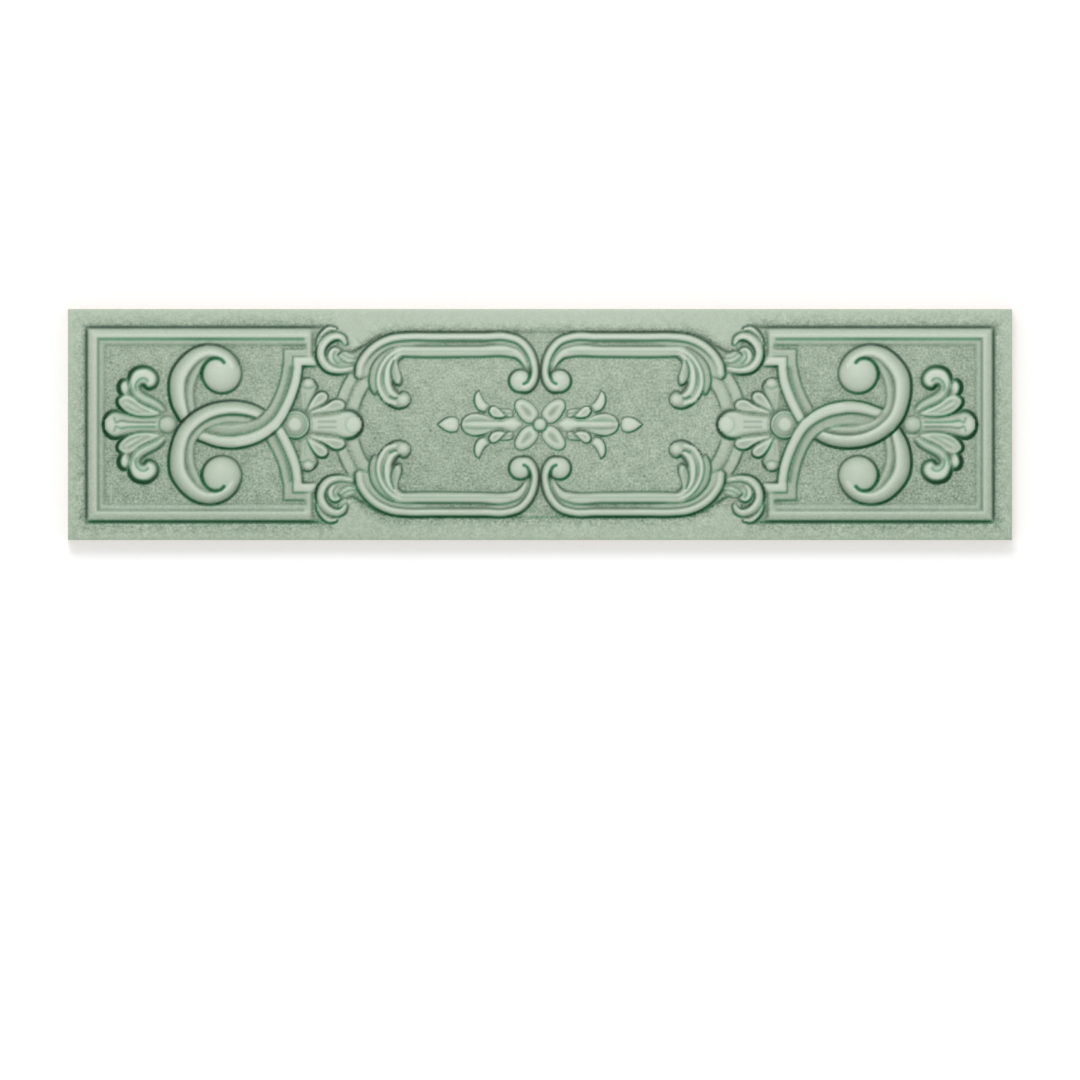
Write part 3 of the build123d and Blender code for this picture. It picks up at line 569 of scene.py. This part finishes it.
for flip in both_sides:
    lay_roll(band_floor, 0.6, lines=(0, 0.25), shade=(0.48, 0.54), power=6, flip=flip)
    lay_lobe(leaf, 1.3, 1.2, shade=(0.15, 0.25), flip=flip)
    lay_roll(inner_band, 1.7, lean=0.2, power=4, shade=(0.5, 0.8), spread=0.3, flip=flip)
    cut([(-44.5, 23.2), (-9, 23.25)], 0.35, 0.12, depth=0.15, flip=flip)
    lay_roll(outer_rib, 0.4, lines=(0, 0), shade=(0.2, 0.4), base=1.1, flip=flip)
    lay_roll(middle_rib, 0.9, shade=(0.6, 1.0), base=1.0, spread=0.4, flip=flip)
    lay_roll(inner_rib, 1.0, shade=(0.6, 1.0), base=1.0, spread=0.4, flip=flip)
    cut([(-46.4, 20.2), (-47.2, 18.2), (-47.4, 16.6), (-47.1, 14.9), (-46.6, 13.6)], 0.33, 0.6, flip=flip)
    lay_roll(short_rib, 0.4, lines=(0, 0), shade=(0.25, 0.5), base=1.1, flip=flip)
    cut([(-47, 13.1), (-46, 12.7), (-44.9, 12.3)], 0.33, 0.5, tint=0.2, flip=flip)
    cut([(-46.9, 13), (-46.1, 11.6), (-44.9, 10.1)], 0.33, 0.6, tint=0.2, flip=flip)
    thin_and_lit_crest(leaf_rim, 0.32, flip=flip)
    cut([(-47.6, 8.9), (-46.4, 8.3), (-45.2, 8.4)], 0.35, 0.5, tint=0.8, flip=flip)
    lay_dome(-43.3, 7.8, 1.8, 1.0, line=0.05, shade=(0.5, 0.85), base=1.3, flip=flip)
    lay_dome(*scroll_ball, 2.5, line=0.85, flip=flip)
    lay_roll(outer_band, 2.5, lean=-0.3, power=3, shade=(0.4, 0.92), spread=0.5, flip=flip, open_end=True)
    cut([(-58.5, 14.9), (-57.7, 14.3), (-56.5, 14.6), (-55, 15.2)], 0.33, 0.3, flip=flip)
    cut(band_hook, 0.36, 0.85, tint=1, flip=flip)

# Flower: four dished petals round a bead in the middle of the tile, and an arm each way along the middle
# line, with a dished bud, a drop beyond it and three small leaves on each side.
flower_petal = [[(-1.2, 1.6), (-0.5, 3.2), (-1.6, 5.6), (-4, 7.6), (-6, 8.2), (-7.6, 7.5), (-8.1, 5.8),
                 (-7.2, 3.6), (-5.6, 1.4), (-3.4, 0.3), (-2, 0.6), (-1.2, 1.6)]]
bud = two_sided([(-25.1, 0), (-24.5, 1.8), (-23, 3), (-21, 3.6), (-19, 3.5, 0.9), (-17, 2.8, 0.6),
                 (-15, 1.8, 0.3), (-12, 1.4, 0.3), (-9.6, 2, 0.4), (-8.2, 2.2, 0.4), (-6.4, 0.8, 0.3),
                 (-5.6, 0, 0.3)])
drop = two_sided([(-32.6, 0), (-31.5, 1), (-30, 2), (-28, 2.5), (-26.4, 2.1), (-25.8, 0.8, 0.6),
                  (-25.7, 0, 0.6)])
curled = [[(-17.5, 3.9), (-19.5, 4.6), (-20.6, 6.2), (-20.9, 8.3), (-20.4, 10), (-19.3, 10.9)],
          [(-19.3, 10.9), (-18.4, 8.8), (-17.2, 7), (-16, 6.1, 0.6)],
          [(-16, 6.1, 0.6), (-17, 4.8, 0.5), (-17.5, 3.9, 0.6)]]
bean = [[(-16.4, 4.2), (-15.6, 5.7), (-14.5, 5.9), (-13, 5), (-11.7, 3.6), (-10.4, 2.4)],
        [(-10.4, 2.4), (-13.4, 2), (-15.3, 2.6), (-16.4, 4.2)]]
leaflet = [[(-13, 5), (-11, 5.05), (-9.6, 4.85), (-8.6, 4.2), (-8.5, 3.1), (-9, 2.3), (-10.4, 2.4)],
           [(-10.4, 2.4), (-11.7, 3.7), (-13, 5)]]
arm_ridge = [(-24.4, 0, 0.4), (-20, 0, 0.6), (-12, 0, 0.7), (-8.6, 0, 1.5), (-6.4, 0, 0.6)]
fine = (0.26, 0.22)
for flip in both_sides:
    lay_lobe(leaflet, 0.9, 0.7, line=0.72, shade=(0.4, 0.7), soft=fine, flip=flip)
    cut([(-12, 4.1), (-10.4, 3.7), (-9.2, 3.5)], 0.3, 0.26, flip=flip)
    lay_lobe(curled, 1.3, 0.9, line=0.78, shade=(0.5, 0.9), soft=fine, flip=flip)
lay_lobe(bud, 1.2, 0.7, line=0.75, shade=(0.5, 0.85), dish=0.22, soft=fine)
lay_lobe(drop, 1.4, 1.0, line=0.8, shade=(0.5, 0.9), soft=fine)
for flip in both_sides:
    green_below = 0.5 - 0.5 * flip
    cut([(-23.6, 1), (-21, 1.2), (-12, 1)], 0.4, 0.16, tint=green_below, flip=flip)
    lay_lobe(bean, 1.4, 0.8, line=0.82, shade=(0.7, 1.1), dish=0.38, soft=fine, flip=flip)
lay_roll(arm_ridge, 0.4, lines=(0, 0), shade=(0.7, 0.9), base=1.2)
for flip in both_sides:
    lay_lobe(flower_petal, 1.3, 1.7, line=0.68, shade=(0.5, 0.92), dish=0.5, soft=fine, flip=flip)
lay_dome(0, 0, 2.2, 1.9, line=0.68, shade=(0.6, 0.85))

# Fired piece: the two halves of the face joined, with its steps softened as the glaze levels them, square
# pressed sides, and a back with shallow keying pockets between ribs for the adhesive.
pocket_columns, pocket_rows = 10, 3
pocket_depth, pocket_draft = 0.8, 0.4
back_rib, back_edge = 4.0, 6.0
arris_radius = 0.8


def soften(field, passes):
    """Each pass averages every point with its neighbours along both axes, with weights 1, 2 and 1."""
    for _ in range(passes):
        field = np.pad(field, 1, mode="edge")
        field = (field[:-2] + 2 * field[1:-1] + field[2:]) / 4
        field = (field[:, :-2] + 2 * field[:, 1:-1] + field[:, 2:]) / 4
    return field


def whole(field, sign=1):
    """A field over the left half, joined to its copy after half a turn, which takes the sign given."""
    return np.concatenate([field, sign * field[::-1, ::-1][:, 1:]], axis=1)


def pocket_lines(half, count):
    """Grid lines across the back: both edges, and the mouth and floor lines of each pocket."""
    size = (2 * half - 2 * back_edge - (count - 1) * back_rib) / count
    start = -half + back_edge + np.arange(count)[:, None] * (size + back_rib)
    return np.r_[-half, (start + [0, pocket_draft, size - pocket_draft, size]).ravel(), half]


def grid_faces(numbers):
    """Quads over a grid of vertex numbers whose rows run along +X and follow each other along +Y."""
    corners = [numbers[:-1, :-1], numbers[:-1, 1:], numbers[1:, 1:], numbers[1:, :-1]]
    return np.stack(corners, axis=-1).reshape(-1, 4)


face_xs = np.r_[xs, -xs[-2::-1]]
face_x, face_y = np.meshgrid(face_xs, ys)
relief = whole(soften(height, 1))
inset = np.clip(np.minimum(half_length - np.abs(face_x), half_width - np.abs(face_y)), 0, arris_radius)
rounding = arris_radius - np.sqrt(arris_radius**2 - (arris_radius - inset) ** 2)
face_z = np.minimum(ground_level + relief, crown) - rounding

back_xs, back_ys = pocket_lines(half_length, pocket_columns), pocket_lines(half_width, pocket_rows)
back_x, back_y = np.meshgrid(back_xs, back_ys)
# After the edge line, each pocket has four lines, and the middle two are on its floor.
floor_rows = np.isin(np.arange(len(back_ys)) % 4, (2, 3))
floor_columns = np.isin(np.arange(len(back_xs)) % 4, (2, 3))
back_z = np.where(floor_rows[:, None] & floor_columns, pocket_depth, 0.0)

face = np.arange(face_z.size).reshape(face_z.shape)
back = face_z.size + np.arange(back_z.size).reshape(back_z.shape)
walls = [np.r_[back[0], face[0, ::-1]], np.r_[back[-1, ::-1], face[-1]], np.r_[back[::-1, 0], face[:, 0]],
         np.r_[back[:, -1], face[::-1, -1]]]
polygons = grid_faces(face).tolist() + grid_faces(back)[:, ::-1].tolist() + [wall.tolist() for wall in walls]
points = np.concatenate([np.stack([face_x, face_y, face_z], axis=-1).reshape(-1, 3),
                         np.stack([back_x, back_y, back_z], axis=-1).reshape(-1, 3)])

# Painted shade: the glaze is painted darker in the shelter of tall forms, and its pools deeper and
# greener on the sides that face outward and down. The glaze is also darker towards the near edge and the
# ends. A pool is stored as its shore, which is the distance from its deepest line in widths of its bell
# curve.
deepest, faintest = 1.4, 0.0001
painted_shelter_shade = np.clip(soften(relief, 10) - relief, 0, 1)
paleness = whole(0.4 * tone + 0.6 * soften(tone, 1)) - 0.15 * painted_shelter_shade
paleness += 0.14 * face_y / half_width + 0.1 * bell(face_x, 70) - 0.07
turned_out, turned_down = whole(outward), whole(downward, sign=-1)
greenness = np.maximum(ease(0.9 * turned_down + 0.5 * turned_out, -0.3, 0.9), whole(green))
pooled_with_shade = whole(pool_and_groove_shade) * (1 + 0.3 * turned_out + 0.2 * turned_down) / deepest
shore = np.sqrt(-np.log(np.clip(pooled_with_shade, faintest, 1)))

mesh = bpy.data.meshes.new("glazed_tile")
mesh.from_pydata((points * MM).tolist(), [], polygons)
for name, field in (("tone", np.clip(paleness, 0, 1)), ("mottled", whole(soften(mottled, 1))),
                    ("shore", shore), ("green", greenness)):
    values = np.r_[field.ravel(), np.zeros(back_z.size)]
    mesh.attributes.new(name, "FLOAT", "POINT").data.foreach_set("value", values.astype(np.float32))
mesh.polygons.foreach_set("use_smooth", np.ones(len(polygons), dtype=bool))
mesh.set_sharp_from_angle(angle=np.radians(50))
tile = bpy.data.objects.new("glazed_tile", mesh)
bpy.context.scene.collection.objects.link(tile)
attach(tile, "root")
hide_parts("tile")

# Celadon glaze: a pale grey-green that thins to nearly white on the crests, with the forms' light and shade
# painted into its paleness, is mottled on the low ground, and pools dark in the grooves, with painted shade
# in the pools, greener on the sides away from the light. The back and the foot of the sides are bare buff
# clay.
glaze = bpy.data.materials.new("celadon_glaze")
glaze.use_nodes = True
nodes, links = glaze.node_tree.nodes, glaze.node_tree.links
surface = nodes["Principled BSDF"]
surface.inputs["Specular IOR Level"].default_value = 0.3


def srgb(red, green, blue):
    """A colour of 0 to 255 as linear light, with full alpha."""
    c = np.array([red, green, blue]) / 255
    return (*np.where(c <= 0.04045, c / 12.92, ((c + 0.055) / 1.055) ** 2.4), 1)


def feed(socket, value):
    """Sets a socket to a constant, or links it to another node's output."""
    if isinstance(value, bpy.types.NodeSocket):
        links.new(value, socket)
    else:
        socket.default_value = value


def math(operation, first, second):
    """One arithmetic step between two values."""
    node = nodes.new("ShaderNodeMath")
    node.operation = operation
    feed(node.inputs[0], first)
    feed(node.inputs[1], second)
    return node.outputs[0]


def mixed(factor, first, second, blend="MIX"):
    """Two colours mixed by a factor."""
    node = nodes.new("ShaderNodeMix")
    node.data_type = "RGBA"
    node.blend_type = blend
    factor_socket, first_socket, second_socket = node.inputs[0], node.inputs[6], node.inputs[7]
    feed(factor_socket, factor)
    feed(first_socket, first)
    feed(second_socket, second)
    return node.outputs[2]


def attribute(name):
    """A value stored on the mesh."""
    node = nodes.new("ShaderNodeAttribute")
    node.attribute_name = name
    return node.outputs["Fac"]


def noise(scale, detail):
    """Noise over the tile, with about this many blotches to the metre."""
    node = nodes.new("ShaderNodeTexNoise")
    feed(node.inputs["Vector"], place.outputs["Object"])
    node.inputs["Scale"].default_value = scale
    node.inputs["Detail"].default_value = detail
    return node.outputs["Fac"]


place = nodes.new("ShaderNodeTexCoord")
# Paleness: partly thin glaze on the crests and partly painted light and shade of the forms.
shades = nodes.new("ShaderNodeValToRGB")
stops = shades.color_ramp.elements
stops[0].color = srgb(146, 164, 144)
stops[1].color = srgb(205, 216, 201)
stops.new(0.5).color = srgb(176, 191, 172)
feed(shades.inputs["Fac"], attribute("tone"))

# Mottle: blotches of three sizes, weaker where the glaze is pale, that change red most and green least.
mottle_contrast = 4.2
palest_mottled, least_mottle = 0.8, 0.15
red_share, green_share, blue_share = 1.0, 0.85, 0.97
fine_blotches = math("ADD", math("MULTIPLY", noise(1250, 3), 0.6), math("MULTIPLY", noise(380, 2), 0.28))
blotches = math("ADD", fine_blotches, math("MULTIPLY", noise(30, 1), 0.12))
strength = math("MAXIMUM", math("SUBTRACT", palest_mottled, attribute("tone")), least_mottle)
strength = math("MULTIPLY", math("MULTIPLY", strength, attribute("mottled")), mottle_contrast)
mottle = math("MULTIPLY", math("SUBTRACT", blotches, 0.5), strength)
brightness = nodes.new("ShaderNodeCombineColor")
for socket, share in zip(brightness.inputs, (red_share, green_share, blue_share)):
    feed(socket, math("ADD", math("MULTIPLY", mottle, share), 1.0))
skin = mixed(1.0, shades.outputs["Color"], brightness.outputs["Color"], blend="MULTIPLY")

# Pools, with painted shade in them: the share of light that a unit depth of glaze lets pass, to the power
# of the depth, which is the greatest depth times exp(-shore^2).
grey_pass, green_pass = (0.082, 0.135, 0.105, 1), (0.045, 0.21, 0.105, 1)
from_deepest = attribute("shore")
bank = math("MULTIPLY", math("MULTIPLY", from_deepest, from_deepest), -1.0)
depth = math("MULTIPLY", math("POWER", np.e, bank), deepest)
passed = nodes.new("ShaderNodeSeparateColor")
feed(passed.inputs[0], mixed(attribute("green"), grey_pass, green_pass))
tinted = nodes.new("ShaderNodeCombineColor")
for channel in range(3):
    feed(tinted.inputs[channel], math("POWER", passed.outputs[channel], depth))
skin = mixed(1.0, skin, tinted.outputs["Color"], blend="MULTIPLY")

# Bare foot: the glaze stops at a wavering line low on the sides, at this height in metres.
foot_height, foot_wander = 0.0022, 0.002
buff_clay = srgb(212, 196, 170)
clay_roughness, glaze_smoothing = 0.85, 0.42
level = nodes.new("ShaderNodeSeparateXYZ")
feed(level.inputs[0], place.outputs["Object"])
glaze_line = math("ADD", foot_height, math("MULTIPLY", noise(90, 2), foot_wander))
glazed = math("GREATER_THAN", level.outputs["Z"], glaze_line)
feed(surface.inputs["Base Color"], mixed(glazed, buff_clay, skin))
feed(surface.inputs["Roughness"], math("SUBTRACT", clay_roughness, math("MULTIPLY", glazed, glaze_smoothing)))
grain = nodes.new("ShaderNodeBump")
grain.inputs["Strength"].default_value = 0.15
grain.inputs["Distance"].default_value = 0.0002
feed(grain.inputs["Height"], noise(1100, 3))
feed(surface.inputs["Normal"], grain.outputs["Normal"])
mesh.materials.append(glaze)

# Studio: the tile lies face up on a white floor under an even white sky, with a soft lamp from beyond its
# far edge. The camera looks straight down and sees the tile above the middle of the picture.
floor_half = 4.0
floor_glow = 0.18
sky_light = 0.78
corners = [(x * floor_half, y * floor_half, 0) for x, y in ((-1, -1), (1, -1), (1, 1), (-1, 1))]
floor_mesh = bpy.data.meshes.new("floor")
floor_mesh.from_pydata(corners, [], [(0, 1, 2, 3)])
floor = bpy.data.objects.new("floor", floor_mesh)
bpy.context.scene.collection.objects.link(floor)
white = bpy.data.materials.new("white_floor")
white.use_nodes = True
nodes, links = white.node_tree.nodes, white.node_tree.links
paper = nodes["Principled BSDF"]
paper.inputs["Base Color"].default_value = (0.9, 0.9, 0.9, 1)
paper.inputs["Roughness"].default_value = 1.0
paper.inputs["Specular IOR Level"].default_value = 0.0
paper.inputs["Emission Color"].default_value = (1, 1, 1, 1)


def seen():
    """1 for a ray that shows in the picture, straight or by a mirror or glass, and 0 for other light."""
    ray = nodes.new("ShaderNodeLightPath")
    mirrored = math("ADD", ray.outputs["Is Glossy Ray"], ray.outputs["Is Transmission Ray"])
    return math("ADD", ray.outputs["Is Camera Ray"], mirrored)


feed(paper.inputs["Emission Strength"], math("MULTIPLY", seen(), floor_glow))
floor_mesh.materials.append(white)

world = bpy.data.worlds.new("studio")
bpy.context.scene.world = world
world.use_nodes = True
nodes, links = world.node_tree.nodes, world.node_tree.links
sky = nodes["Background"]
sky.inputs["Color"].default_value = (1, 1, 1, 1)
feed(sky.inputs["Strength"], math("ADD", sky_light, math("MULTIPLY", seen(), 1 - sky_light)))

lamp = bpy.data.objects.new("lamp", bpy.data.lights.new("lamp", "SUN"))
lamp.data.energy = 0.8
lamp.data.angle = np.radians(20)
lamp.rotation_euler = (np.radians(-35), np.radians(-8), 0)
bpy.context.scene.collection.objects.link(lamp)

camera = bpy.data.objects.new("camera", bpy.data.cameras.new("camera"))
camera.data.type = "ORTHO"
camera.data.ortho_scale = 0.3432
camera.location = (0, -half_width * MM, 1.0)
bpy.context.scene.collection.objects.link(camera)
bpy.context.scene.camera = camera
bpy.context.scene.view_settings.view_transform = "Standard"
